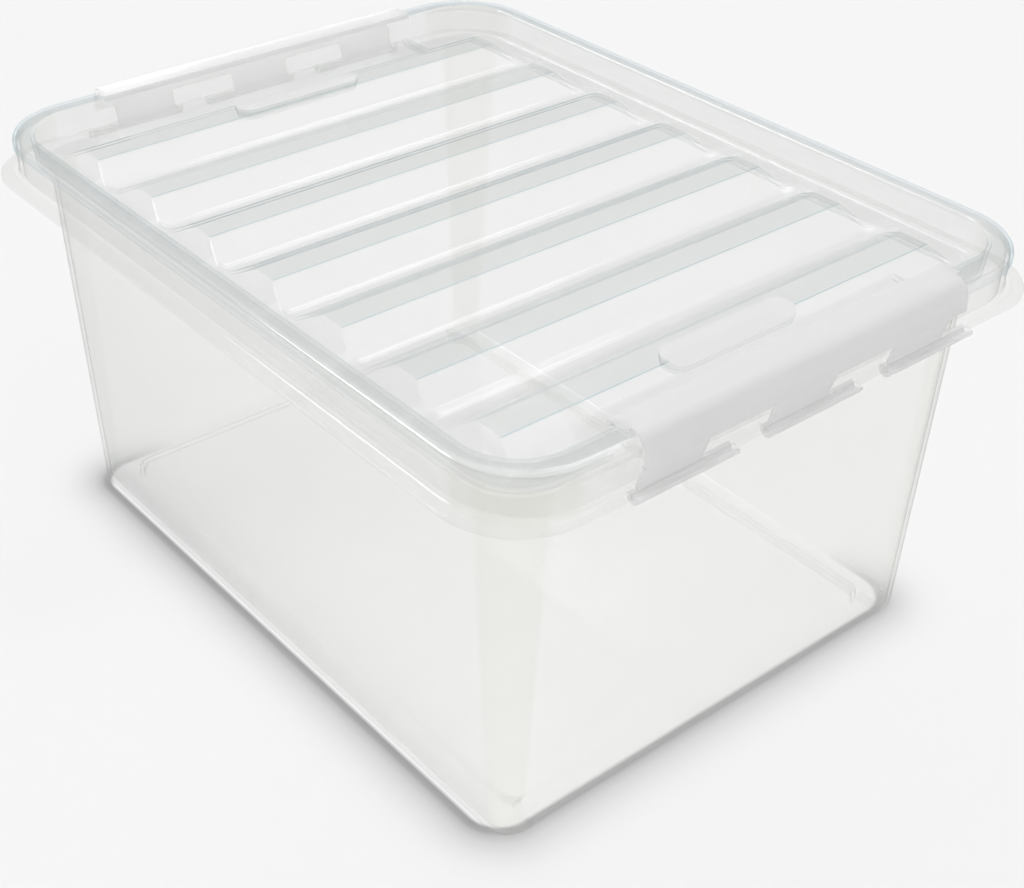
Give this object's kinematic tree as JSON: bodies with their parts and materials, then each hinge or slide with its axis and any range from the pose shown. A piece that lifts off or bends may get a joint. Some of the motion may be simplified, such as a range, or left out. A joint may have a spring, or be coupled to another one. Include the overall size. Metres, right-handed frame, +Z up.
{
  "type": "stackable storage bin",
  "caption": "Clear rectangular storage bin with a ribbed stacking lid, tapered walls, an outward rim flange and hinged end latches that hook over the lid.",
  "frame": {"origin": "centre of the rectangle the bin stands on", "axes": "+X along the length towards one latch, +Y across the width, +Z up"},
  "size_m": [0.5046, 0.3918, 0.2564],
  "materials": {
    "clear_bin_plastic": "clear, smooth and glossy",
    "clear_lid_plastic": "clear, smooth and glossy",
    "frosted_latch_plastic": "milky translucent, satin"
  },
  "bodies": {
    "bin": {"bin": "clear_bin_plastic"},
    "lid": {"lid": "clear_lid_plastic"},
    "latch_right": {"latch_right": "frosted_latch_plastic"},
    "latch_left": {"latch_left": "frosted_latch_plastic"}
  },
  "joints": [
    {"name": "lid_lift", "type": "slide", "parent": "bin", "child": "lid", "axis": [0, 0, 1], "range_m": [0, 0.03]},
    {"name": "latch_right_hinge", "type": "hinge", "parent": "bin", "child": "latch_right", "pos_m": [0.2484, 0, 0.226], "axis": [0, 1, 0], "range_deg": [0, 150]},
    {"name": "latch_left_hinge", "type": "hinge", "parent": "bin", "child": "latch_left", "pos_m": [-0.2484, 0, 0.226], "axis": [0, -1, 0], "range_deg": [0, 150]}
  ],
  "couplings": [
    {"joint": "latch_right_hinge", "follows": "lid_lift", "rad_per_m": 87.266},
    {"joint": "latch_left_hinge", "follows": "lid_lift", "rad_per_m": 87.266}
  ]
}
